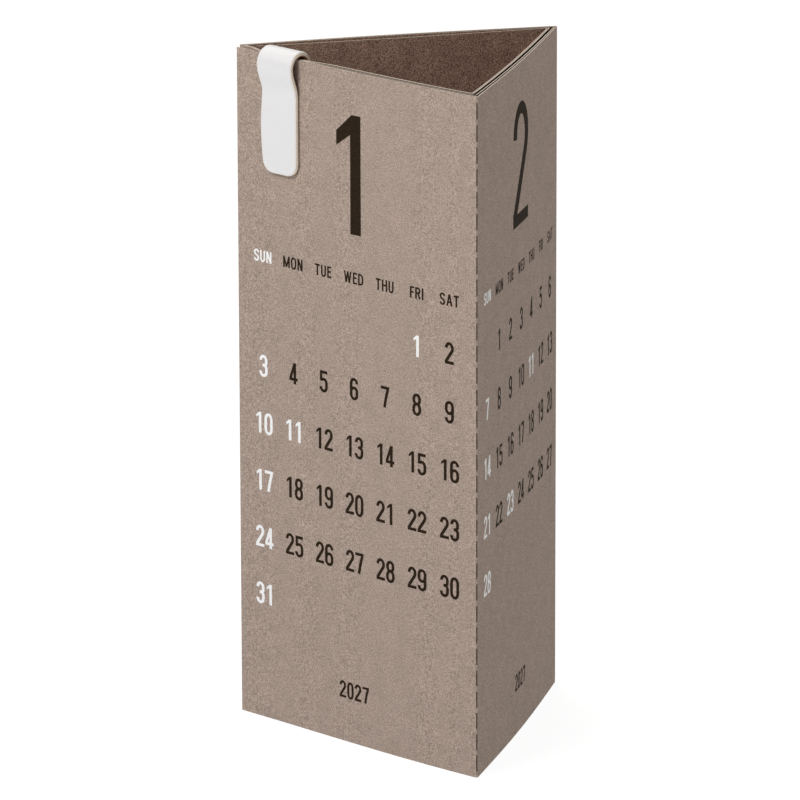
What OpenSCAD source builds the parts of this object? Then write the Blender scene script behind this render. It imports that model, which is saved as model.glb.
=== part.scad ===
// Desk calendar: one long strip of kraft card with twelve month panels, rolled up into a hollow
// three-sided tower that stands on its lower edge. The folds are perforated, so that a month can
// be torn off. A leather strap with a magnet in each leg is folded over the front rim and keeps
// the roll from unwinding.
// The front faces -Y, +Z is up, and the origin is under the middle of the whole.

/* [Card] */
// Width of the first month panel, from its free edge to its fold
panel_w = 73.5; // [60:0.5:90]
// Width of the second panel, on the right side
right_w = 74.5; // [60:0.5:90]
// Height of the strip
panel_h = 155; // [120:1:200]
// Thickness of the card
card_t = 0.28; // [0.22:0.02:0.4]
// Inner radius of each fold
fold_r = 0.15; // [0.1:0.05:0.3]
// Angle between the front side and the right side
near_angle = 60.8; // [58:0.1:64]

/* [Roll] */
// How far behind the front the left folds lie
tuck = 2.1; // [1.6:0.1:3]
// How far the left folds reach out past the first panel's free edge
left_out = 1.4; // [0.6:0.1:3]
// Air between turns that lie tight on each other
tight_air = 0.05; // [0.04:0.01:0.1]
// Air behind the outermost turn at the near corner
near_air = 0.44; // [0.1:0.02:0.6]
// Air behind the outermost turn at the right corner
right_air = 0.08; // [0.06:0.02:0.4]
// Air behind the second turn at the near and right corners
second_air = 0.6; // [0.1:0.05:0.7]
// How far the last panel stands in from the back at the left corner
end_depth = 2.6; // [2:0.1:5]
// How far the last panel's free edge stops short of the left corner
end_short = 3.3; // [3:0.1:8]

/* [Bows] */
// Outward bow of the front side
front_bow = 0.75; // [0.2:0.05:1.5]
// Outward bow of the right side
right_bow = 0.75; // [0.2:0.05:1.5]
// Outward bow of the back side
back_bow = 1.05; // [0.2:0.05:1.5]
// Inward bow of the last panel
end_bow = 0.7; // [0.2:0.05:2]

/* [Perforation] */
// Distance from one cut of a perforated fold to the next
perf_pitch = 4.95; // [4:0.05:8]
// Height of the uncut tie between two cuts, and of the one at each end
perf_tie = 1.2; // [0.8:0.1:2]
// Width of a cut
perf_cut = 0.24; // [0.1:0.02:0.36]

/* [Strap] */
// Width of the strap
strap_w = 10.7; // [8:0.1:14]
// Thickness of the leather
strap_t = 1.2; // [0.8:0.05:1.4]
// How far the strap's left edge lies from the first panel's free edge
strap_from_edge = 9.1; // [6:0.1:20]
// How far each leg reaches below the rim
leg_drop = 26.7; // [23:0.1:35]
// Radius of the rounded corners at the end of each leg
leg_corner_r = 3; // [1.5:0.1:4]
// How far below the rim the loop closes onto the card
neck_drop = 8.6; // [7:0.1:10]
// How far below the rim the loop is widest
wide_drop = 2; // [1:0.1:4]
// How far the loop bulges out past each leg
loop_bulge = 1.6; // [1:0.1:3]
// Air between the rim and the strap's crown
crown_air = 0.65; // [0.3:0.05:1.6]
// How far the left edge bellies out beside the magnets
strap_belly = 0.5; // [0.1:0.1:1.2]
// Clearance between each leg and the card
strap_clear = 0.1; // [0.08:0.01:0.2]

/* [Magnets] */
// Diameter of each disc magnet
magnet_d = 8; // [6:0.5:8.5]
// Thickness of each disc magnet
magnet_t = 0.5; // [0.3:0.05:0.6]
// How far the middle of each magnet lies below the rim
magnet_drop = 16; // [14:0.5:18]
// Clearance round each magnet in its pocket
magnet_clear = 0.05; // [0.02:0.01:0.1]

/* [Hidden] */

turns = 4;
sides = 3;
FRONT = 0;
RIGHT = 1;
BACK = 2;
// Straight steps across a panel and round a fold
panel_steps = 24;
fold_steps = 3;
// Steps along each bend of the strap, and round each of its corners
loop_steps = 10;
corner_steps = 6;
belly_steps = 8;
// Facets of the round magnets and of their pockets
disc_facets = 64;

function mix(a, b, x) = a + (b - a) * x;
function clamp01(x) = min(max(x, 0), 1);
function ease(x) = 0.5 - 0.5 * cos(180 * clamp01(x));
function unit(v) = v / norm(v);
function left_of(v) = [-v.y, v.x];
function total(v, n) = n == 0 ? 0 : v[n - 1] + total(v, n - 1);
function reversed(v) = [for (i = [len(v) - 1:-1:0]) v[i]];
function turned(v, a) = [v.x * cos(a) - v.y * sin(a), v.x * sin(a) + v.y * cos(a)];

// How deep each turn lies behind the outermost one, from the air in front of it
function depths(air) = [for (k = [0:turns - 1]) k * card_t + total(air, k)];
near_depth = depths([near_air, second_air, tight_air]);
right_depth = depths([right_air, second_air, tight_air]);
strap_depth = depths([tight_air, tight_air, tight_air]);
left_step = card_t + tight_air;

// The three sides as [start, direction], walked from the first panel's free edge
near_corner = [0, 0];
right_corner = right_w * [-cos(near_angle), sin(near_angle)];
free_edge = [-panel_w, 0];
left_corner = [free_edge.x - left_out, tuck];
front_side = [free_edge, unit(near_corner - free_edge)];
right_side = [near_corner, unit(right_corner - near_corner)];
back_side = [right_corner, unit(left_corner - right_corner)];
side_lines = [front_side, right_side, back_side];
side_w = [panel_w, right_w, norm(left_corner - right_corner)];

function on_side(side, s, depth) =
    side_lines[side][0] + side_lines[side][1] * s * side_w[side] + left_of(side_lines[side][1]) * depth;
function share(side, p) = (p - side_lines[side][0]) * side_lines[side][1] / side_w[side];

// The point that lies at depth d behind one side and depth e behind another
function meet(side, d, other, e) =
    let (u = side_lines[side][1], v = side_lines[other][1],
         p = on_side(side, 0, d), q = on_side(other, 0, e),
         reach = ((q - p) * left_of(v)) / (u * left_of(v)))
    p + u * reach;

// The stretch of the front where the strap holds the turns together, as shares of its width
strap_margin = 1.2;
held_from = (strap_from_edge - strap_margin) / panel_w;
held_to = (strap_from_edge + strap_w + strap_margin) / panel_w;
// From the left folds the turns run level for a little, and then close up towards the strap
level_to = 0.015;
// Past the strap they part again over this share of the width
parted_over = 0.11;
// The front bows most to the right of its middle, because the strap holds it flat on the left
front_skew = 1.6;

function front_line(s) = s >= 1 ? 0 : -front_bow * sin(180 * pow(max(s, 0), front_skew));
function front_gap(k, s) =
    s < held_from
    ? mix(tuck + (k - 1) * left_step, strap_depth[k], ease((s - level_to) / (held_from - level_to)))
    : mix(strap_depth[k], near_depth[k], ease((s - held_to) / parted_over));
function depth_at(side, k, s) =
    side == FRONT ? front_line(s) + (k == 0 ? 0 : front_gap(k, s))
    : side == RIGHT ? mix(near_depth[k], right_depth[k], s) - right_bow * sin(180 * clamp01(s))
    : k < turns - 1 ? mix(right_depth[k], k * left_step, s) - back_bow * sin(180 * clamp01(s))
    : mix(right_depth[k], end_depth, s) + end_bow * sin(180 * clamp01(s));

// The twelve panels run from knot to knot: free edge, near, right and left folds, turn by turn
end_share = 1 - end_short / side_w[BACK];
function near_fold(k) = meet(FRONT, near_depth[k], RIGHT, near_depth[k]);
function right_fold(k) = meet(RIGHT, right_depth[k], BACK, right_depth[k]);
function left_fold(k) = meet(BACK, k * left_step, FRONT, tuck + k * left_step);
knots = [
    free_edge,
    for (k = [0:turns - 1]) each [
        near_fold(k),
        right_fold(k),
        k < turns - 1
        ? left_fold(k)
        : on_side(BACK, end_share, depth_at(BACK, k, end_share))
    ]
];

mid_r = fold_r + card_t / 2;
// No point of a panel comes closer to a knot than the fold's rounding needs, in radii of the fold
fold_reach = 2.2;
knot_room = fold_reach * mid_r;
function inner_points(i) =
    let (side = i % sides, k = floor(i / sides),
         from = share(side, knots[i]) + knot_room / side_w[side],
         to = share(side, knots[i + 1]) - knot_room / side_w[side])
    [for (j = [0:panel_steps]) let (s = j / panel_steps)
        if (s > from && s < to) on_side(side, s, depth_at(side, k, s))];

// A fold is an arc round its knot, between the last point before it and the first one after
function fold_points(before, knot, after) =
    let (u = unit(knot - before), v = unit(after - knot),
         bend = acos(u * v),
         start = knot - u * mid_r * tan(bend / 2),
         centre = start + left_of(u) * mid_r)
    [for (j = [0:fold_steps]) centre + turned(start - centre, bend * j / fold_steps)];

panels = turns * sides;
strip_line = [
    for (i = [0:panels - 1]) each [
        each i == 0
        ? [knots[0]]
        : fold_points(inner_points(i - 1)[len(inner_points(i - 1)) - 1], knots[i], inner_points(i)[0]),
        each inner_points(i)
    ],
    knots[panels]
];

// A line moved sideways to its left, with its corners kept sharp
function shifted(line, d) =
    let (last = len(line) - 1)
    [for (i = [0:last])
        let (u = unit(line[max(i, 1)] - line[max(i, 1) - 1]),
             v = unit(line[min(i, last - 1) + 1] - line[min(i, last - 1)]),
             n = unit(left_of(u) + left_of(v)))
        line[i] + n * d / (n * left_of(u))];
function band(line, t) = concat(shifted(line, -t / 2), reversed(shifted(line, t / 2)));

strip_outline = band(strip_line, card_t);

// The strap stands at its own place on the front, turned to the front's slope there
strap_share = (strap_from_edge + strap_w / 2) / panel_w;
slope_step = 0.01;
strap_turn = atan((front_line(strap_share + slope_step) - front_line(strap_share - slope_step))
    / (2 * slope_step * panel_w));
stack_t = strap_depth[turns - 1] + card_t;
strap_place = on_side(FRONT, strap_share, front_line(strap_share) + (stack_t - card_t) / 2);
leg_line = stack_t / 2 + strap_clear + strap_t / 2;
wide_line = leg_line + loop_bulge;
crown_line = crown_air + strap_t / 2;
strap_top = panel_h + crown_air + strap_t;

// Half of the strap's section, from the end of a leg up to the crown, as [out, up from the rim]
half_loop = [
    [leg_line, -leg_drop],
    [leg_line, -neck_drop],
    for (j = [1:loop_steps]) let (x = j / loop_steps)
        [leg_line + loop_bulge * ease(x), mix(-neck_drop, -wide_drop, x)],
    for (j = [1:loop_steps]) let (a = 90 * j / loop_steps)
        [wide_line * cos(a), -wide_drop + (crown_line + wide_drop) * sin(a)]
];
strap_line = concat(half_loop, [for (i = [len(half_loop) - 2:-1:0]) [-half_loop[i].x, half_loop[i].y]]);

// The strap's outline from the front, open past the crown, with the belly on its left edge
belly_from = leg_drop - leg_corner_r;
past_crown = 1;
strap_face = [
    for (j = [0:corner_steps]) let (a = 180 + 90 * j / corner_steps)
        [-strap_w / 2 + leg_corner_r * (1 + cos(a)), -leg_drop + leg_corner_r * (1 + sin(a))],
    for (j = [0:corner_steps]) let (a = 270 + 90 * j / corner_steps)
        [strap_w / 2 - leg_corner_r * (1 - cos(a)), -leg_drop + leg_corner_r * (1 + sin(a))],
    [strap_w / 2, strap_top - panel_h + past_crown],
    [-strap_w / 2, strap_top - panel_h + past_crown],
    for (j = [0:belly_steps - 1]) let (x = j / belly_steps)
        [-strap_w / 2 - strap_belly * sin(180 * x), mix(-neck_drop, -belly_from, x)]
];

// The middle of the whole object, which comes to stand on the origin
strap_reach = wide_line + strap_t / 2;
strap_ends = [for (x = [-1, 1], y = [-1, 1])
    strap_place + turned([x * strap_w / 2, y * strap_reach], strap_turn)];
everything = concat(strip_outline, strap_ends);
middle = [
    (min([for (p = everything) p.x]) + max([for (p = everything) p.x])) / 2,
    (min([for (p = everything) p.y]) + max([for (p = everything) p.y])) / 2
];

// The cuts of one corner, through all the turns, from its outermost knot to its innermost one
module corner_cuts(outer, inner) {
    way = unit(inner - outer);
    room = 2 * (card_t + fold_r);
    count = floor(panel_h / perf_pitch);
    foot = (panel_h - count * perf_pitch) / 2;
    translate(outer)
        rotate([0, 0, atan2(way.y, way.x)])
            for (i = [0:count - 1]) {
                low = max(foot + i * perf_pitch + perf_tie / 2, perf_tie);
                high = min(foot + (i + 1) * perf_pitch - perf_tie / 2, panel_h - perf_tie);
                translate([-room, -perf_cut / 2, low])
                    cube([norm(inner - outer) + 2 * room, perf_cut, high - low]);
            }
}

module calendar_strip() {
    color([0.62, 0.56, 0.51])
        translate(-middle)
            difference() {
                linear_extrude(panel_h)
                    polygon(strip_outline);
                corner_cuts(near_fold(0), near_fold(turns - 1));
                corner_cuts(right_fold(0), right_fold(turns - 1));
                corner_cuts(left_fold(0), left_fold(turns - 2));
            }
}

// Puts what is made round the rim's middle line, with -Y outwards, where the strap sits
module at_strap() {
    translate([strap_place.x - middle.x, strap_place.y - middle.y, panel_h])
        rotate([0, 0, strap_turn])
            children();
}

// A disc on the inner face of the front leg (way = -1) or of the back leg (way = 1)
module leg_disc(way, d, t) {
    face = stack_t / 2 + strap_clear;
    translate([0, way * face, -magnet_drop])
        rotate([-90 * way, 0, 0])
            cylinder(h = t, d = d, $fn = disc_facets);
}

// The bent section and the face outline cross, each drawn out past the other
module leather_strap() {
    past = 2;
    color([0.93, 0.92, 0.91])
        at_strap()
            difference() {
                intersection() {
                    rotate([90, 0, 90])
                        linear_extrude(past * strap_w, center = true)
                            polygon(band(strap_line, strap_t));
                    rotate([90, 0, 0])
                        linear_extrude(past * 2 * strap_reach, center = true)
                            polygon(strap_face);
                }
                leg_disc(-1, magnet_d + 2 * magnet_clear, magnet_t);
                leg_disc(1, magnet_d + 2 * magnet_clear, magnet_t);
            }
}

module outer_magnet() {
    color([0.7, 0.7, 0.72])
        at_strap()
            leg_disc(-1, magnet_d, magnet_t);
}

module inner_magnet() {
    color([0.7, 0.7, 0.72])
        at_strap()
            leg_disc(1, magnet_d, magnet_t);
}

calendar_strip();
leather_strap();
outer_magnet();
inner_magnet();
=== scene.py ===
"""A desk calendar: a perforated strip of kraft card, rolled into a three-sided tower, with a leather strap.

The card keeps its CAD solid and gets its paper finish here. The printing is laid on the three
outer panels as thin films of ink, and the strap is remade with its bevelled, raw edges.
Lengths named here are in millimetres, and MM turns them into the frame's metres.
"""

import math

import bmesh
import bpy
from mathutils import Matrix, Vector
from mathutils.bvhtree import BVHTree
from mathutils.geometry import delaunay_2d_cdt


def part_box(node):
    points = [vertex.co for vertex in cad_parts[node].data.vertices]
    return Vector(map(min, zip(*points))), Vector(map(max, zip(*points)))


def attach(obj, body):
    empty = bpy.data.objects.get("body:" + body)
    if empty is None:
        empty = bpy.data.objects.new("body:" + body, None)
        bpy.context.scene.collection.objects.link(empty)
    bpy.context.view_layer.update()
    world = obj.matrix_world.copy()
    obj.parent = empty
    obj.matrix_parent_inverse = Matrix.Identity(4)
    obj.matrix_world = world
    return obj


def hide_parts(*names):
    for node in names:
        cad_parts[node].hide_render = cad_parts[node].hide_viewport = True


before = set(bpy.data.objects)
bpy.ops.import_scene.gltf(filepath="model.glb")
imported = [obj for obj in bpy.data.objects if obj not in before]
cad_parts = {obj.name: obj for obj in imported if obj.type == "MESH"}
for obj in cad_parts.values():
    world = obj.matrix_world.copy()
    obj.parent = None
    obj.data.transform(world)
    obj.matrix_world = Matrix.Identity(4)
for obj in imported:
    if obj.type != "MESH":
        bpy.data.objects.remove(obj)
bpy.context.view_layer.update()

MM = 0.001
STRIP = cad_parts["calendar_strip"]
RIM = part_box("calendar_strip")[1].z
MAGNETS = ("outer_magnet", "inner_magnet")

# The camera stands where the photograph was taken from, far off with a long lens
VIEW_AZIMUTH = 43.80
VIEW_ELEVATION = 15.117
VIEW_ROLL = -0.143
VIEW_DISTANCE = 1705
VIEW_TARGET = (-7.096, -8.754, 74.34)
LENS = 340.15
SENSOR = 36
# The nearest and the farthest that it sees, in metres
CLIP = (0.1, 100)

# Distant lights: name, azimuth and height they come from, angle they spread over, strength, colour
SUNS = (
    ("crown", 240, 62, 25, 2.1, (1.0, 0.97, 0.91)),
    ("side", 108, 10, 40, 0.35, (1.0, 0.96, 0.86)),
)
# The key light is a disc at the upper left: azimuth, height, distance, width and power
KEY_AZIMUTH = 0
KEY_ELEVATION = 44
KEY_DISTANCE = 1000
KEY_WIDTH = 430
KEY_POWER = 7.05
# The sky's light, and the floor: its width in metres, its depth under the card, its paint and own light
SKY = 0.05
FLOOR_SIZE = 12
FLOOR_DROP = 0.02
FLOOR_PAINT = (0.1, 0.1, 0.1, 1)
FLOOR_GLOW = 0.95
WHITE = (1, 1, 1, 1)

# The card's tones, on its outer faces and on its inner ones: in the hollows between the fibres and on
# the fibres, each where the pulp is dark and where it is pale
FACE_HOLLOWS = ((0.222, 0.175, 0.143, 1), (0.254, 0.194, 0.162, 1))
FACE_FIBRES = ((0.428, 0.337, 0.279, 1), (0.490, 0.380, 0.320, 1))
# The inner faces' tones are darker and browner than the outer ones: painted shade of the tower's inside
BACK_HOLLOWS_SHADED = ((0.101, 0.061, 0.045, 1), (0.147, 0.090, 0.067, 1))
BACK_FIBRES_SHADED = ((0.351, 0.228, 0.173, 1), (0.510, 0.330, 0.252, 1))
CUT_EDGE = ((0.37, 0.305, 0.255, 1), (0.57, 0.485, 0.415, 1))
SPECK = (0.16, 0.105, 0.075, 1)
# Painted shade that the card darkens to in its cuts and narrow gaps, and how near other card must be for it
PAINTED_SHADE = (0.022, 0.012, 0.008, 1)
SHADE_REACH = 1.2
# The fibres' noise: its scale along them and across them, how much the matted ones count, and the
# range that the sum of them fills
FIBRE_LONG = 1300
FIBRE_FINE = 3600
MATTED_SHARE = 2.8
FIBRE_RANGE = (1.88, 2.92)

# The two tones of each of the other materials' grain
DARK_INK = ((0.030, 0.018, 0.009, 1), (0.016, 0.009, 0.004, 1))
PALE_INK = ((0.74, 0.73, 0.72, 1), (0.84, 0.84, 0.84, 1))
COAT = ((0.68, 0.67, 0.675, 1), (0.72, 0.71, 0.715, 1))
RAW_EDGE = ((0.84, 0.75, 0.64, 1), (0.95, 0.87, 0.77, 1))
RAW_INSIDE = ((0.23, 0.12, 0.06, 1), (0.36, 0.20, 0.11, 1))
NICKEL = ((0.60, 0.60, 0.61, 1), (0.72, 0.71, 0.70, 1))

# Where the print lies across a panel, in shares of the panel's width
COLUMN_FIRST = 0.106
COLUMN_PITCH = 0.13154
YEAR_CENTRE = 0.496
# Where the print lies down a panel, from its top
WEEKDAY_LINE = 48.11
DATE_LINE = 61.3
DATE_PITCH = 13.37
YEAR_LINE = 144.8
NUMERAL_LINE = 36.87
# How far the ink stands proud of the card, how far it has soaked in, and its widest facet
INK_PROUD = 0.015
INK_SOAKED = 0.01
INK_FACET = 2.0
# Corners of the print nearer than this are one, and a ray at the card starts from this far off it
INK_MERGE = 1e-5
CAST_FROM = 10

# The strap's sizes, as in the solid. The drops go down from the rim: to the legs' ends, to where the
# legs lie flat and to where the loop is widest. LEG_FACE goes from the middle to a leg's inner face
STRAP_W = 10.7
STRAP_T = 1.2
LEG_DROP = 26.7
LEG_CORNER = 3.0
NECK_DROP = 8.6
WIDE_DROP = 2.0
LOOP_BULGE = 1.6
CROWN_AIR = 0.65
STRAP_BELLY = 0.5
LEG_FACE = 0.735
POCKET_D = 8.1
POCKET_FACETS = 64
MAGNET_T = 0.5
# How far a pocket's cutter reaches out past the leather
POCKET_LEAD = 0.08
# The strap's edge: how far the shoulder of its face is rounded in and down, and its flesh side's heel
SHOULDER = 0.5
SHOULDER_DROP = 0.35
HEEL = 0.3
# The length of the strap's slices and the width of its stripes, and how exactly they are cut
STRAP_SLICE = 0.6
STRAP_STRIPE = 1.3
CUT_SLACK = 1e-6


def smooth(x):
    """Eases from 0 to 1 as the part's own bends do."""
    return 0.5 - 0.5 * math.cos(math.pi * x)


def mix(a, b, x):
    return a + (b - a) * x


def new_object(name, mesh):
    made = bpy.data.objects.new(name, mesh)
    bpy.context.scene.collection.objects.link(made)
    return made


# The camera and the lights

def aim(azimuth, elevation):
    """The direction towards a viewer at that azimuth and elevation, in degrees."""
    a = math.radians(azimuth)
    e = math.radians(elevation)
    return Vector((math.sin(a) * math.cos(e), -math.cos(a) * math.cos(e), math.sin(e)))


def make_camera():
    back = aim(VIEW_AZIMUTH, VIEW_ELEVATION)
    data = bpy.data.cameras.new("camera")
    data.lens = LENS
    data.sensor_width = SENSOR
    data.clip_start, data.clip_end = CLIP
    camera = new_object("camera", data)
    camera.location = (Vector(VIEW_TARGET) + back * VIEW_DISTANCE) * MM
    turn = (-back).to_track_quat("-Z", "Y").to_matrix()
    roll = Matrix.Rotation(math.radians(VIEW_ROLL), 3, "Z")
    camera.rotation_euler = (turn @ roll).to_euler()
    bpy.context.scene.camera = camera


def make_lights():
    for name, azimuth, elevation, spread, strength, colour in SUNS:
        data = bpy.data.lights.new(name, "SUN")
        data.color = colour
        data.angle = math.radians(spread)
        data.energy = strength
        light = new_object(name, data)
        light.rotation_euler = aim(azimuth, elevation).to_track_quat("Z", "Y").to_euler()
    data = bpy.data.lights.new("key", "AREA")
    data.shape = "DISK"
    data.size = KEY_WIDTH * MM
    data.energy = KEY_POWER
    key = new_object("key", data)
    way = aim(KEY_AZIMUTH, KEY_ELEVATION)
    key.location = (Vector(VIEW_TARGET) + way * KEY_DISTANCE) * MM
    key.rotation_euler = way.to_track_quat("Z", "Y").to_euler()
    world = bpy.data.worlds.new("studio")
    world.use_nodes = True
    sky = world.node_tree.nodes["Background"].inputs
    sky["Strength"].default_value = SKY
    sky["Color"].default_value = WHITE
    bpy.context.scene.world = world
    bpy.context.scene.view_settings.view_transform = "Standard"


def make_floor():
    mesh = bpy.data.meshes.new("floor")
    half = FLOOR_SIZE / 2
    corners = [(-half, -half, 0), (half, -half, 0), (half, half, 0), (-half, half, 0)]
    mesh.from_pydata(corners, [], [(0, 1, 2, 3)])
    floor = new_object("floor", mesh)
    floor.location.z = -FLOOR_DROP * MM
    surface = Surface("floor_paint", roughness=0.9, specular=0.1)
    surface.colour(FLOOR_PAINT)
    surface.shader.inputs["Emission Color"].default_value = WHITE
    surface.shader.inputs["Emission Strength"].default_value = FLOOR_GLOW
    mesh.materials.append(surface.material)


# Materials

class Surface:
    """A procedural material: one principled shader, and small helpers that wire nodes into it."""

    def __init__(self, name, roughness, specular, metallic=0.0):
        self.material = bpy.data.materials.new(name)
        self.material.use_nodes = True
        self.tree = self.material.node_tree
        self.shader = self.tree.nodes["Principled BSDF"]
        self.shader.inputs["Roughness"].default_value = roughness
        self.shader.inputs["Specular IOR Level"].default_value = specular
        self.shader.inputs["Metallic"].default_value = metallic
        coordinates = self.tree.nodes.new("ShaderNodeTexCoord").outputs
        self.place = coordinates["Object"]
        self.normal = coordinates["Normal"]

    def node(self, kind, **inputs):
        made = self.tree.nodes.new(kind)
        for name, value in inputs.items():
            self.feed(made.inputs[name.replace("_", " ")], value)
        return made

    def feed(self, socket, value):
        """A socket takes either another node's output or a plain value."""
        if isinstance(value, bpy.types.NodeSocket):
            self.tree.links.new(value, socket)
        else:
            socket.default_value = value

    def stretched(self, scale):
        """The surface's own place, stretched by a scale along each axis."""
        made = self.node("ShaderNodeMapping", Vector=self.place, Scale=scale)
        return made.outputs["Vector"]

    def noise(self, scale, detail, vector=None, distortion=0.0, roughness=0.5):
        made = self.node(
            "ShaderNodeTexNoise",
            Vector=vector or self.place,
            Scale=scale,
            Detail=detail,
            Roughness=roughness,
            Distortion=distortion,
        )
        return made.outputs["Fac"]

    def cells(self, scale):
        """How far the surface lies from the middle of the nearest of many scattered cells."""
        made = self.node("ShaderNodeTexVoronoi", Vector=self.place, Scale=scale)
        return made.outputs["Distance"]

    def span(self, value, low, high, to_low=0.0, to_high=1.0):
        """Carries a value from one range to another, held at its ends."""
        made = self.tree.nodes.new("ShaderNodeMapRange")
        self.feed(made.inputs["Value"], value)
        for name, number in (
            ("From Min", low), ("From Max", high), ("To Min", to_low), ("To Max", to_high)
        ):
            made.inputs[name].default_value = number
        return made.outputs["Result"]

    def maths(self, operation, a, b=0.0):
        made = self.tree.nodes.new("ShaderNodeMath")
        made.operation = operation
        self.feed(made.inputs[0], a)
        self.feed(made.inputs[1], b)
        return made.outputs[0]

    def vector(self, operation, a, b=(0, 0, 0)):
        made = self.tree.nodes.new("ShaderNodeVectorMath")
        made.operation = operation
        self.feed(made.inputs[0], a)
        self.feed(made.inputs[1], b)
        return made.outputs["Value" if operation == "DOT_PRODUCT" else "Vector"]

    def openness(self, reach):
        """How openly the surface lies to its own object within a reach: 0 in deep gaps, 1 in the open."""
        made = self.node("ShaderNodeAmbientOcclusion", Distance=reach * MM)
        made.only_local = True
        return made.outputs["AO"]

    def blend(self, share, a, b):
        """Two colours, mixed by a share."""
        made = self.tree.nodes.new("ShaderNodeMix")
        made.data_type = "RGBA"
        self.feed(made.inputs["Factor"], share)
        self.feed(made.inputs[6], a)
        self.feed(made.inputs[7], b)
        return made.outputs[2]

    def colour(self, value):
        self.feed(self.shader.inputs["Base Color"], value)

    def roughness(self, value):
        self.feed(self.shader.inputs["Roughness"], value)

    def bump(self, height, distance, strength):
        made = self.node("ShaderNodeBump", Height=height, Distance=distance * MM, Strength=strength)
        self.tree.links.new(made.outputs["Normal"], self.shader.inputs["Normal"])


def card_surface():
    """Uncoated kraft board: matted fibres, soft clouds of pulp and sparse specks.

    The faces that look into the tower are darker and browner: painted shade of the tower's inside.
    The cut edges are pale, and the folds' cuts and the narrow gaps between the turns are darkened
    with painted shade.
    """
    surface = Surface("kraft_card", roughness=0.92, specular=0.18)
    lying, standing = (
        surface.noise(1.0, 2.0, surface.stretched(scale), distortion=1.0)
        for scale in ((FIBRE_LONG, FIBRE_LONG, FIBRE_FINE), (FIBRE_FINE, FIBRE_FINE, FIBRE_LONG))
    )
    matted = surface.noise(FIBRE_FINE, 1.0)
    fibres = surface.maths("ADD", lying, standing)
    fibres = surface.maths("ADD", fibres, surface.maths("MULTIPLY", matted, MATTED_SHARE))
    fibres = surface.span(fibres, *FIBRE_RANGE)
    clouds = surface.span(surface.noise(230, 4.0, roughness=0.65), 0.3, 0.7)
    face, back = (
        surface.blend(fibres, surface.blend(clouds, *hollows), surface.blend(clouds, *tips))
        for hollows, tips in ((FACE_HOLLOWS, FACE_FIBRES), (BACK_HOLLOWS_SHADED, BACK_FIBRES_SHADED))
    )
    outwards = surface.vector("NORMALIZE", surface.vector("MULTIPLY", surface.place, (1, 1, 0)))
    facing = surface.vector("DOT_PRODUCT", surface.normal, outwards)
    # Faces that look into the tower take the darker inner tones, painted shade of the tower's inside
    inward_shaded = surface.span(facing, -0.3, -0.28, 1.0, 0.0)
    specks = surface.span(surface.cells(420.0), 0.05, 0.12, 0.45, 0.0)
    # Painted shade: the cut walls, which stand across the outward direction, and faces in narrow gaps
    # darken
    cut_walls_shaded = surface.span(surface.maths("ABSOLUTE", facing), 0.2, 0.27, 1.0, 0.0)
    gaps = surface.span(surface.openness(SHADE_REACH), 0.5, 0.8, 1.0, 0.0)
    for share, tone in ((inward_shaded, back), (specks, SPECK), (cut_walls_shaded, PAINTED_SHADE), (gaps, PAINTED_SHADE)):
        face = surface.blend(share, face, tone)
    upright = surface.node("ShaderNodeSeparateXYZ", Vector=surface.normal).outputs["Z"]
    cut = surface.span(surface.maths("ABSOLUTE", upright), 0.4, 0.7)
    surface.colour(surface.blend(cut, face, surface.blend(matted, *CUT_EDGE)))
    surface.bump(fibres, distance=0.05, strength=0.5)
    return surface.material


def ink_surface(name, tones, roughness):
    """A film of ink that the card's fibres show through a little."""
    surface = Surface(name, roughness=roughness, specular=0.08)
    cover = surface.noise(2400, 3.0, distortion=0.8)
    surface.colour(surface.blend(surface.span(cover, 0.3, 0.6), *tones))
    surface.bump(cover, distance=0.02, strength=0.5)
    return surface.material


def coated_surface():
    """The strap's face: white coated leather with a fine, shallow grain."""
    surface = Surface("white_leather", roughness=0.48, specular=0.35)
    creases = surface.noise(700, 4.0, distortion=0.4)
    surface.colour(surface.blend(creases, *COAT))
    surface.roughness(surface.span(creases, 0.3, 0.7, 0.42, 0.56))
    pores = surface.maths("MULTIPLY", surface.cells(2600.0), 0.35)
    surface.bump(surface.maths("ADD", pores, creases), distance=0.03, strength=0.35)
    return surface.material


def raw_surface(name, tones, scale):
    """Undyed leather, as on the strap's cut edge and on its inner side: loose short fibres."""
    surface = Surface(name, roughness=0.85, specular=0.15)
    fibres = surface.noise(scale, 4.0, distortion=1.5)
    surface.colour(surface.blend(surface.span(fibres, 0.35, 0.65), *tones))
    surface.bump(fibres, distance=0.06, strength=0.5)
    return surface.material


def metal_surface():
    """Nickel plate with fine turning marks and a little wear."""
    surface = Surface("magnet_nickel", roughness=0.3, specular=0.5, metallic=1.0)
    marks = surface.noise(3000, 3.0)
    surface.colour(surface.blend(marks, *NICKEL))
    surface.roughness(surface.span(marks, 0.3, 0.7, 0.22, 0.38))
    return surface.material


# Figures and letters, drawn in units of their own height from their lower left corner

# Facets of a quarter turn and of any other bend, and the fewest of the smallest arc
QUARTER_STEPS = 5
BEND_STEPS = 10
FEWEST_STEPS = 3
# Height of a round end, and how far its open stroke runs on past it
BEND = 0.19
RUN_ON = 0.012
# How far a round end reaches past a flat one
OVERSHOOT = 0.03


def arc(x, y, rx, ry, start, end):
    """Points along an elliptical arc, with angles in degrees, anticlockwise from the right."""
    steps = max(FEWEST_STEPS, round(abs(end - start) / 90 * QUARTER_STEPS))
    angles = [math.radians(mix(start, end, i / steps)) for i in range(steps + 1)]
    return [(x + rx * math.cos(a), y + ry * math.sin(a)) for a in angles]


def curve(start, pull, end):
    """Points along a bend from start to end that heads for pull."""
    made = []
    for i in range(1, BEND_STEPS + 1):
        t = i / BEND_STEPS
        made.append(tuple(mix(mix(a, b, t), mix(b, c, t), t) for a, b, c in zip(start, pull, end)))
    return made


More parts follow.
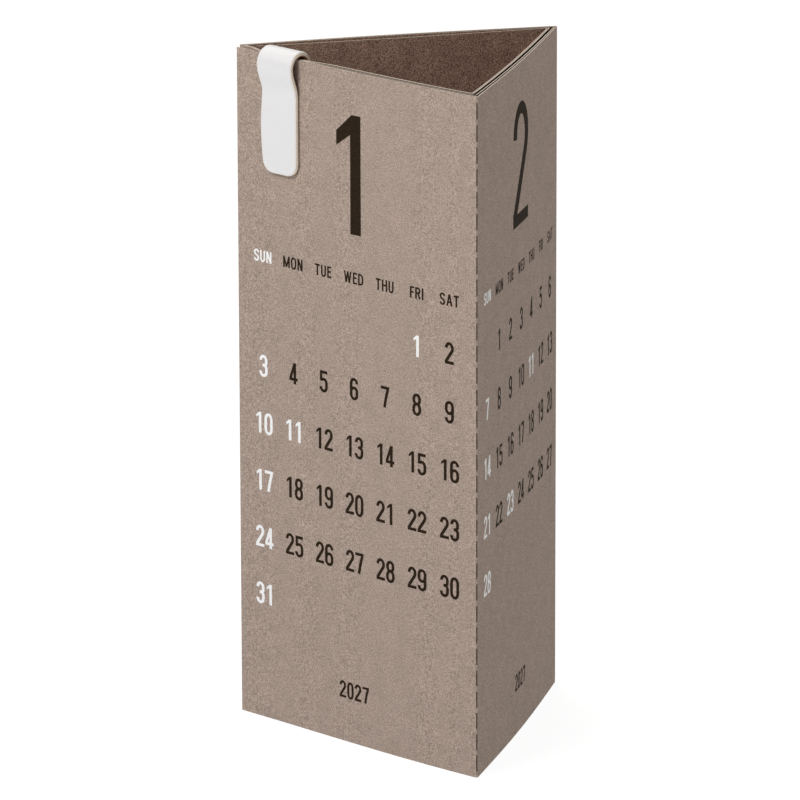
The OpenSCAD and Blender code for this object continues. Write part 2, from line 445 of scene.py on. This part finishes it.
class Glyph:
    """One figure or letter as a set of flat patches, of a width, a stem and a bar thickness."""

    def __init__(self, width, stem, bar):
        self.w = width
        self.stem = stem
        self.bar = bar
        self.left = stem / 2
        self.right = width - stem / 2
        self.mid = width / 2
        self.rx = (width - stem) / 2
        self.top = 1 - bar / 2
        self.foot = bar / 2
        self.crown = self.top + OVERSHOOT
        self.bowl = self.foot - OVERSHOOT
        self.patches = []

    def patch(self, *points):
        """A flat patch, kept anticlockwise."""
        turn = sum(a[0] * b[1] - b[0] * a[1] for a, b in zip(points, points[1:] + points[:1]))
        self.patches.append(list(points) if turn > 0 else list(reversed(points)))

    def box(self, x0, y0, x1, y1):
        self.patch((x0, y0), (x1, y0), (x1, y1), (x0, y1))

    def slant(self, x0, x1, thick, y0=0.0, y1=1.0):
        """A slanting stroke, cut level at both ends."""
        self.patch((x0, y0), (x0 + thick, y0), (x1 + thick, y1), (x1, y1))

    def stroke(self, path, closed=False):
        """A pen stroke along a path: as thick as a stem where it stands, as a bar where it lies."""
        points = [Vector(p) for p in path]
        count = len(points)
        sides = []
        for i, p in enumerate(points):
            before = points[i - 1] if closed or i > 0 else p
            after = points[(i + 1) % count] if closed or i < count - 1 else p
            way = (after - before).normalized()
            half = 0.5 * math.hypot(self.stem * way.y, self.bar * way.x)
            out = Vector((-way.y, way.x)) * half
            sides.append((p + out, p - out))
        for i in range(count if closed else count - 1):
            (a, b), (c, d) = sides[i], sides[(i + 1) % count]
            self.patch(tuple(a), tuple(b), tuple(d))
            self.patch(tuple(a), tuple(d), tuple(c))

    def ring(self, low, high, ry, squeeze=0.0):
        """A closed round-ended loop between two heights of its middle line."""
        rx = self.rx - squeeze
        upper = arc(self.mid, high - ry, rx, ry, 0, 180)
        lower = arc(self.mid, low + ry, rx, ry, 180, 360)
        self.stroke(upper + lower, closed=True)


def zero(g):
    g.ring(g.bowl, g.crown, 0.25)


def one(g):
    flag = 0.16
    stem = flag + g.stem
    shift = (g.w - stem) / 2 - 0.025
    beak = [(flag + 0.018, 1), (0, 0.847), (0, 0.722), (flag, 0.83)]
    g.patch(*[(x + shift, y) for x, y in [(flag, 0), (stem, 0), (stem, 1)] + beak])


def two(g):
    shoulder = 0.74
    path = arc(g.mid, shoulder, g.rx, g.crown - shoulder, 180, 0)
    bend = (g.right - 0.05, 0.59)
    path += curve(path[-1], (g.right, 0.665), bend)
    path.append((g.left + 0.005, g.bar))
    g.stroke(path)
    g.patch((0, 0), (g.w, 0), (g.w, g.bar), (g.stem, g.bar), (0, g.bar + 0.03))


def three(g):
    waist = 0.53
    back = (g.mid - 0.06, waist)
    upper = arc(g.mid, g.crown - BEND, g.rx - 0.01, BEND, 180, 0)
    upper += arc(g.mid, waist + 0.13, g.rx - 0.01, 0.13, 0, -90)
    upper.append(back)
    lower = [back] + arc(g.mid, waist - 0.15, g.rx, 0.15, 90, 0)
    lower += arc(g.mid, g.bowl + BEND, g.rx, BEND, 0, -180)
    g.stroke([(upper[0][0], upper[0][1] - RUN_ON)] + upper)
    g.stroke(lower + [(g.left, g.bowl + BEND + RUN_ON)])


def four(g):
    stem_at = g.w - 0.1 - g.stem
    arm = 0.155
    thick = 0.9 * g.stem
    start = 0.29
    slope = (1 - start) / stem_at
    across = thick * math.hypot(1, 1 / slope)
    inner = across - (start - arm - g.bar) / slope
    g.box(stem_at, 0, stem_at + g.stem, 1)
    g.box(0, arm, g.w, arm + g.bar)
    g.patch(
        (0, arm), (inner, arm + g.bar), (stem_at, arm + g.bar + (stem_at - inner) * slope),
        (stem_at, 1), (0, start),
    )


def five(g):
    edge = 0.03
    crown = 0.6
    g.box(edge, 1 - g.bar, g.w - 0.03, 1)
    g.box(edge, 0.5, edge + g.stem * 0.92, 1)
    path = curve((g.left + 0.02, 0.5), (g.left + 0.05, crown), (g.mid + 0.01, crown))
    path += arc(g.mid, crown - 0.2, g.rx, 0.2, 80, 0)
    path += arc(g.mid, g.bowl + BEND, g.rx, BEND, 0, -180)
    g.stroke(path + [(g.left, g.bowl + BEND + RUN_ON)])


def six(g):
    g.ring(g.bowl, 0.56, BEND)
    path = [(g.right, g.crown - BEND - RUN_ON)] + arc(g.mid, g.crown - BEND, g.rx, BEND, 0, 180)
    g.stroke(path + [(g.left, g.bowl + BEND)])


def seven(g):
    g.box(0, 1 - g.bar, g.w, 1)
    path = curve((g.w - g.stem * 0.52, 1 - g.bar), (g.w - g.stem * 1.15, 0.6), (g.w * 0.44, 0))
    g.stroke([(g.w - g.stem * 0.52, 1 - g.bar)] + path)


def eight(g):
    waist = 0.525
    g.ring(waist, g.crown, 0.19, squeeze=0.012)
    g.ring(g.bowl, waist, 0.2)


def nine(g):
    six(g)
    g.patches = [[(g.w - x, 1 - y) for x, y in p] for p in g.patches]


def letter_a(g):
    peak = g.mid - g.stem * 0.55
    g.slant(0, peak, g.stem)
    g.slant(g.w - g.stem, g.mid - g.stem * 0.45, g.stem)
    g.box(g.w * 0.2, 0.24, g.w * 0.8, 0.24 + g.bar)


def letter_d(g):
    g.box(0, 0, g.stem, 1)
    rx = g.w * 0.52
    path = [(g.stem / 2, g.top)] + arc(g.right - rx, g.top - 0.27, rx, 0.27, 90, 0)
    path += arc(g.right - rx, g.foot + 0.27, rx, 0.27, 0, -90)
    g.stroke(path + [(g.stem / 2, g.foot)])


def letter_e(g):
    g.box(0, 0, g.stem, 1)
    g.box(0, 0, g.w, g.bar)
    g.box(0, 0.46, g.w * 0.92, 0.46 + g.bar)
    g.box(0, 1 - g.bar, g.w, 1)


def letter_f(g):
    g.box(0, 0, g.stem, 1)
    g.box(0, 0.43, g.w * 0.92, 0.43 + g.bar)
    g.box(0, 1 - g.bar, g.w, 1)


def letter_h(g):
    g.box(0, 0, g.stem, 1)
    g.box(g.w - g.stem, 0, g.w, 1)
    g.box(0, 0.44, g.w, 0.44 + g.bar)


def letter_i(g):
    g.box(0, 0, g.stem, 1)


def letter_m(g):
    g.box(0, 0, g.stem, 1)
    g.box(g.w - g.stem, 0, g.w, 1)
    dip = g.mid - g.stem / 2
    g.slant(dip, 0, g.stem, 0.05, 1)
    g.slant(dip, g.w - g.stem, g.stem, 0.05, 1)


def letter_n(g):
    g.box(0, 0, g.stem, 1)
    g.box(g.w - g.stem, 0, g.w, 1)
    g.slant(g.w - g.stem * 1.1, 0, g.stem * 1.1)


def letter_r(g):
    g.box(0, 0, g.stem, 1)
    waist = 0.5
    rx = g.w * 0.42
    ry = (g.top - waist) / 2
    path = [(g.stem / 2, g.top)] + arc(g.right - rx, g.top - ry, rx, ry, 90, -90)
    g.stroke(path + [(g.stem / 2, waist)])
    g.slant(g.w - g.stem, g.mid - 0.06, g.stem, 0, waist)


def letter_s(g):
    path = [(g.right, g.crown - BEND - RUN_ON)] + arc(g.mid, g.crown - BEND, g.rx, BEND, 0, 180)
    path += curve(path[-1], (g.left, 0.58), (g.mid, 0.5))
    path += curve(path[-1], (g.right, 0.42), (g.right, g.bowl + BEND + RUN_ON))
    path += arc(g.mid, g.bowl + BEND, g.rx, BEND, 0, -180)
    g.stroke(path + [(g.left, g.bowl + BEND + RUN_ON)])


def letter_t(g):
    g.box(g.mid - g.stem / 2, 0, g.mid + g.stem / 2, 1)
    g.box(0, 1 - g.bar, g.w, 1)


def letter_u(g):
    g.stroke([(g.left, 1)] + arc(g.mid, g.bowl + 0.26, g.rx, 0.26, 180, 360) + [(g.right, 1)])


def letter_w(g):
    quarter = (g.w - g.stem) / 4
    for i, lean in enumerate((-1, 1, -1, 1)):
        low = quarter * (1 if i < 2 else 3)
        g.slant(low, low + lean * quarter, g.stem * 0.95)


FIGURES = (zero, one, two, three, four, five, six, seven, eight, nine)
# Each letter's drawing and width, and the gap between two letters
LETTERS = {
    "A": (letter_a, 0.66), "D": (letter_d, 0.62), "E": (letter_e, 0.48), "F": (letter_f, 0.46),
    "H": (letter_h, 0.62), "I": (letter_i, 0.155), "M": (letter_m, 0.80), "N": (letter_n, 0.62),
    "O": (zero, 0.64), "R": (letter_r, 0.60), "S": (letter_s, 0.60), "T": (letter_t, 0.58),
    "U": (letter_u, 0.60), "W": (letter_w, 0.92),
}
LETTER_GAP = 0.14


class Face:
    """A size and weight of the figures: height in millimetres, the rest in shares of the height."""

    def __init__(self, height, stem, bar, width=0.545, advance=0.614):
        self.height = height
        self.stem = stem
        self.bar = bar
        self.width = width
        self.advance = advance

    def glyphs(self, text):
        """The text's glyphs, each with its place from the text's left end."""
        at = 0.0
        for character in text:
            if character.isdigit():
                draw, width = FIGURES[int(character)], self.width
                step = self.advance
            else:
                draw, width = LETTERS[character]
                step = width + LETTER_GAP
            glyph = Glyph(width, self.stem, self.bar)
            draw(glyph)
            yield glyph, at
            at += step

    def length(self, text):
        *_, (last, at) = self.glyphs(text)
        return (at + last.w) * self.height

    def lay(self, text, centre, line, anchor=0.5):
        """Patches of the text on a panel, in millimetres from its left edge and down from its top."""
        start = centre - anchor * self.length(text)
        for glyph, at in self.glyphs(text):
            yield [
                [(start + (at + x) * self.height, line - y * self.height) for x, y in reversed(patch)]
                for patch in glyph.patches
            ]


# The print's sizes: height, stem and bar, and the figures' width and advance where they differ
DATES = Face(4.87, 0.17, 0.14)
WEEKDAYS = Face(2.65, 0.185, 0.155)
YEAR = Face(3.83, 0.175, 0.145, 0.54, 0.634)
NUMERAL = Face(27.1, 0.1205, 0.102, 0.51)


# The printing

class Panel:
    """An outer panel of the roll: from its left corner to its right one, as seen from outside."""

    def __init__(self, left, right):
        self.start = Vector((left.x, left.y))
        across = Vector((right.x, right.y)) - self.start
        self.width = across.length / MM
        self.way = across.normalized()
        self.out = Vector((self.way.y, -self.way.x, 0))

    def lift(self, u, v, proud):
        """A place on the panel's outer face, cast onto the card itself."""
        foot = self.start + self.way * u * MM
        away = Vector((foot.x, foot.y, RIM - v * MM)) + self.out * (CAST_FROM * MM)
        hit = card_tree.ray_cast(away, -self.out)[0]
        return hit + self.out * proud * MM


def union(patches):
    """Triangles of all the patches together, in the plane, cut into slices no wider than a facet."""
    points = []
    faces = []
    for patch in patches:
        faces.append(list(range(len(points), len(points) + len(patch))))
        points += [Vector(p) for p in patch]
    low = min(p.x for p in points)
    high = max(p.x for p in points)
    top = min(p.y for p in points)
    foot = max(p.y for p in points)
    edges = []
    slices = int((high - low) / INK_FACET)
    for i in range(slices):
        x = mix(low, high, (i + 1) / (slices + 1))
        edges.append((len(points), len(points) + 1))
        points += [Vector((x, top)), Vector((x, foot))]
    flat, _, triangles, _, _, patches_below = delaunay_2d_cdt(points, edges, faces, 0, INK_MERGE)
    return flat, [f for f, below in zip(triangles, patches_below) if below]


def print_ink(name, panel, words, surface):
    """One film of ink: the words' glyphs as thin closed solids that follow the card."""
    bm = bmesh.new()
    for patches in words:
        flat, triangles = union(patches)
        used = sorted({i for f in triangles for i in f})
        proud = {i: bm.verts.new(panel.lift(flat[i].x, flat[i].y, INK_PROUD)) for i in used}
        soaked = {i: bm.verts.new(panel.lift(flat[i].x, flat[i].y, -INK_SOAKED)) for i in used}
        borders = {}
        for f in triangles:
            bm.faces.new([proud[i] for i in f])
            bm.faces.new([soaked[i] for i in reversed(f)])
            for a, b in zip(f, f[1:] + f[:1]):
                if (b, a) in borders:
                    del borders[(b, a)]
                else:
                    borders[(a, b)] = True
        for a, b in borders:
            bm.faces.new([proud[b], proud[a], soaked[a], soaked[b]])
    bmesh.ops.recalc_face_normals(bm, faces=bm.faces)
    mesh = bpy.data.meshes.new(name)
    bm.to_mesh(mesh)
    bm.free()
    mesh.materials.append(surface)
    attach(new_object(name, mesh), "roll")


def print_month(side, panel, month, first, days, pale_dates, numeral_left):
    """A month: its numeral, the weekdays, the dates in rows of a week, and the year.

    Its first day falls on the weekday called first, where Sunday is 0.
    """
    numeral = NUMERAL.lay(str(month), numeral_left, NUMERAL_LINE, anchor=0)
    print_ink(f"{side}_numeral", panel, numeral, dark_ink)
    names = ("SUN", "MON", "TUE", "WED", "THU", "FRI", "SAT")
    centres = [panel.width * (COLUMN_FIRST + COLUMN_PITCH * i) for i in range(len(names))]
    dark = []
    pale = list(WEEKDAYS.lay(names[0], centres[0], WEEKDAY_LINE))
    for centre, name in zip(centres[1:], names[1:]):
        dark += WEEKDAYS.lay(name, centre, WEEKDAY_LINE)
    print_ink(f"{side}_weekdays", panel, dark, dark_ink)
    dark = []
    for day in range(1, days + 1):
        row, column = divmod(day - 1 + first, len(names))
        laid = DATES.lay(str(day), centres[column], DATE_LINE + row * DATE_PITCH)
        if column == 0 or day in pale_dates:
            pale += laid
        else:
            dark += laid
    print_ink(f"{side}_dates", panel, dark, dark_ink)
    print_ink(f"{side}_rest_days", panel, pale, pale_ink)
    year = YEAR.lay("2027", panel.width * YEAR_CENTRE, YEAR_LINE)
    print_ink(f"{side}_year", panel, year, dark_ink)


def card_corner(x, y):
    """The card's outermost point in a direction, seen from above."""
    return max((v.co for v in STRIP.data.vertices), key=lambda p: p.x * x + p.y * y)


# The strap

def strap_line():
    """The strap's middle line as [across, up from the rim], from its front end to its back end."""
    leg = LEG_FACE + STRAP_T / 2
    wide = leg + LOOP_BULGE
    crown = CROWN_AIR + STRAP_T / 2
    steps = 24
    half = [(-leg, -LEG_DROP), (-leg, -NECK_DROP)]
    for i in range(1, steps + 1):
        x = i / steps
        half.append((-leg - LOOP_BULGE * smooth(x), mix(-NECK_DROP, -WIDE_DROP, x)))
    for i in range(1, steps + 1):
        a = math.radians(90 * i / steps)
        half.append((-wide * math.cos(a), -WIDE_DROP + (crown + WIDE_DROP) * math.sin(a)))
    return [Vector(p) for p in half + [(-x, y) for x, y in reversed(half[:-1])]]


class Bend:
    """Carries a flat strap's places onto its bent middle line."""

    def __init__(self, line):
        self.line = line
        self.at = [0.0]
        for a, b in zip(line, line[1:]):
            self.at.append(self.at[-1] + (b - a).length)
        self.length = self.at[-1]
        self.outs = []
        for i in range(len(line)):
            way = (line[min(i + 1, len(line) - 1)] - line[max(i - 1, 0)]).normalized()
            self.outs.append(Vector((-way.y, way.x)))

    def carry(self, s, out):
        """The place at a length along the line, and so far out from it."""
        i = max(k for k in range(len(self.at) - 1) if self.at[k] <= max(s, 0))
        t = (s - self.at[i]) / (self.at[i + 1] - self.at[i])
        way = self.outs[i].lerp(self.outs[i + 1], min(max(t, 0), 1)).normalized()
        return self.line[i].lerp(self.line[i + 1], t) + way * out


def strap_outline(length):
    """The flat strap's outline, anticlockwise from the front end's left corner."""
    r = LEG_CORNER
    half = STRAP_W / 2
    neck = LEG_DROP - NECK_DROP
    steps = round((length - 2 * r) / STRAP_SLICE)
    right = [(half, mix(r, length - r, i / steps)) for i in range(1, steps)]
    left = []
    for i in range(1, steps):
        s = mix(length - r, r, i / steps)
        leg = min(s, length - s)
        swell = math.sin(math.pi * min(max((leg - r) / (neck - r), 0), 1))
        left.append((-half - STRAP_BELLY * swell, s))
    front = arc(-half + r, r, r, r, 180, 270) + arc(half - r, r, r, r, 270, 360)
    back = arc(half - r, length - r, r, r, 0, 90) + arc(-half + r, length - r, r, r, 90, 180)
    return [Vector(p) for p in front + right + back + left]


def inset(outline, depth):
    """The outline drawn in by a depth."""
    count = len(outline)
    made = []
    for i, p in enumerate(outline):
        way = (outline[(i + 1) % count] - outline[i - 1]).normalized()
        made.append(p + Vector((-way.y, way.x)) * depth)
    return made


def strap_rings():
    """The edge's profile from face to flesh side, as [inset, height out of the middle]."""
    half = STRAP_T / 2
    rings = []
    for a in (90, 72, 54, 36, 18, 0):
        a = math.radians(a)
        rings.append((SHOULDER * (1 - math.cos(a)), half - SHOULDER_DROP * (1 - math.sin(a))))
    for a in (0, -30, -60, -90):
        a = math.radians(a)
        rings.append((HEEL * (1 - math.cos(a)), -half + HEEL * (1 + math.sin(a))))
    return rings


COATED, RAW, FLESH = range(3)
# The bands of the strap's edge, from its face down
EDGE_BANDS = (COATED, COATED, COATED, RAW, RAW, RAW, FLESH, FLESH, FLESH)


def make_strap():
    """The strap: a flat leather strip with worked edges, bent over the rim, with its magnets' pockets."""
    bend = Bend(strap_line())
    outline = strap_outline(bend.length)
    bm = bmesh.new()
    loops = [
        [bm.verts.new((p.x, p.y, z)) for p in inset(outline, depth)] for depth, z in strap_rings()
    ]
    count = len(outline)
    bm.faces.new(loops[0]).material_index = COATED
    bm.faces.new(list(reversed(loops[-1]))).material_index = FLESH
    for upper, lower, material in zip(loops, loops[1:], EDGE_BANDS):
        for i in range(count):
            j = (i + 1) % count
            side = bm.faces.new([upper[i], lower[i], lower[j], upper[j]])
            side.material_index = material
    slice_lines(bm, Vector((0, 1, 0)), 0.0, bend.length, STRAP_SLICE)
    slice_lines(bm, Vector((1, 0, 0)), -STRAP_W / 2, STRAP_W / 2, STRAP_STRIPE)
    front, back = (sum(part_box(n), Vector()) / 2 for n in MAGNETS)
    middle = (front + back) / 2
    across = (back - front).normalized()
    along = Vector((across.y, -across.x, 0))
    for v in bm.verts:
        place = bend.carry(v.co.y, v.co.z)
        v.co = Vector((middle.x, middle.y, RIM)) + (
            along * v.co.x + across * place.x + Vector((0, 0, place.y))
        ) * MM
    bmesh.ops.recalc_face_normals(bm, faces=bm.faces)
    for f in bm.faces:
        f.smooth = True
    mesh = bpy.data.meshes.new("leather_band")
    bm.to_mesh(mesh)
    bm.free()
    mesh.materials.append(coated_surface())
    mesh.materials.append(raw_surface("raw_leather_edge", RAW_EDGE, scale=1500))
    mesh.materials.append(raw_surface("raw_leather_inside", RAW_INSIDE, scale=900))
    strap = new_object("leather_band", mesh)
    for magnet, way in ((front, across), (back, -across)):
        cut_pocket(strap, magnet, way)
    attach(strap, "strap")
    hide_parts("leather_strap")


def cut_pocket(strap, magnet, way):
    """Cuts a magnet's round pocket into the strap, from the flesh side outwards."""
    bm = bmesh.new()
    radius = POCKET_D / 2 * MM
    depth = (MAGNET_T + POCKET_LEAD) * MM
    bmesh.ops.create_cone(
        bm, cap_ends=True, segments=POCKET_FACETS, radius1=radius, radius2=radius, depth=depth
    )
    mesh = bpy.data.meshes.new("pocket")
    bm.to_mesh(mesh)
    bm.free()
    for _ in (COATED, RAW, FLESH):
        mesh.materials.append(strap.data.materials[FLESH])
    cutter = new_object("pocket", mesh)
    cutter.location = magnet + way * POCKET_LEAD / 2 * MM
    cutter.rotation_euler = way.to_track_quat("Z", "Y").to_euler()
    cut = strap.modifiers.new("pocket", "BOOLEAN")
    cut.operation = "DIFFERENCE"
    cut.solver = "EXACT"
    cut.object = cutter
    bpy.context.view_layer.update()
    evaluated = strap.evaluated_get(bpy.context.evaluated_depsgraph_get())
    made = bpy.data.meshes.new_from_object(evaluated)
    strap.modifiers.clear()
    strap.data = made
    bpy.data.objects.remove(cutter)


def slice_lines(bm, across, low, high, step):
    """Cuts a mesh all through by evenly spaced planes."""
    count = round((high - low) / step)
    for i in range(1, count):
        everything = bm.verts[:] + bm.edges[:] + bm.faces[:]
        place = across * mix(low, high, i / count)
        bmesh.ops.bisect_plane(bm, geom=everything, dist=CUT_SLACK, plane_co=place, plane_no=across)


make_camera()
make_lights()
make_floor()

STRIP.material_slots[0].material = card_surface()
card_tree = BVHTree.FromPolygons(
    [v.co for v in STRIP.data.vertices], [list(p.vertices) for p in STRIP.data.polygons]
)
dark_ink = ink_surface("dark_ink", DARK_INK, roughness=0.8)
pale_ink = ink_surface("pale_ink", PALE_INK, roughness=0.7)

free_edge = card_corner(-1, -1)
near_corner = card_corner(1, -1)
right_corner = card_corner(0, 1)
left_corner = card_corner(-1, 0.3)
print_month(
    "front", Panel(free_edge, near_corner),
    month=1, first=5, days=31, pale_dates=(1, 11), numeral_left=29.0,
)
print_month(
    "right", Panel(near_corner, right_corner),
    month=2, first=1, days=28, pale_dates=(11, 23), numeral_left=29.7,
)
print_month(
    "back", Panel(right_corner, left_corner),
    month=3, first=1, days=31, pale_dates=(22,), numeral_left=29.2,
)

make_strap()
nickel = metal_surface()
for name in MAGNETS:
    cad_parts[name].material_slots[0].material = nickel
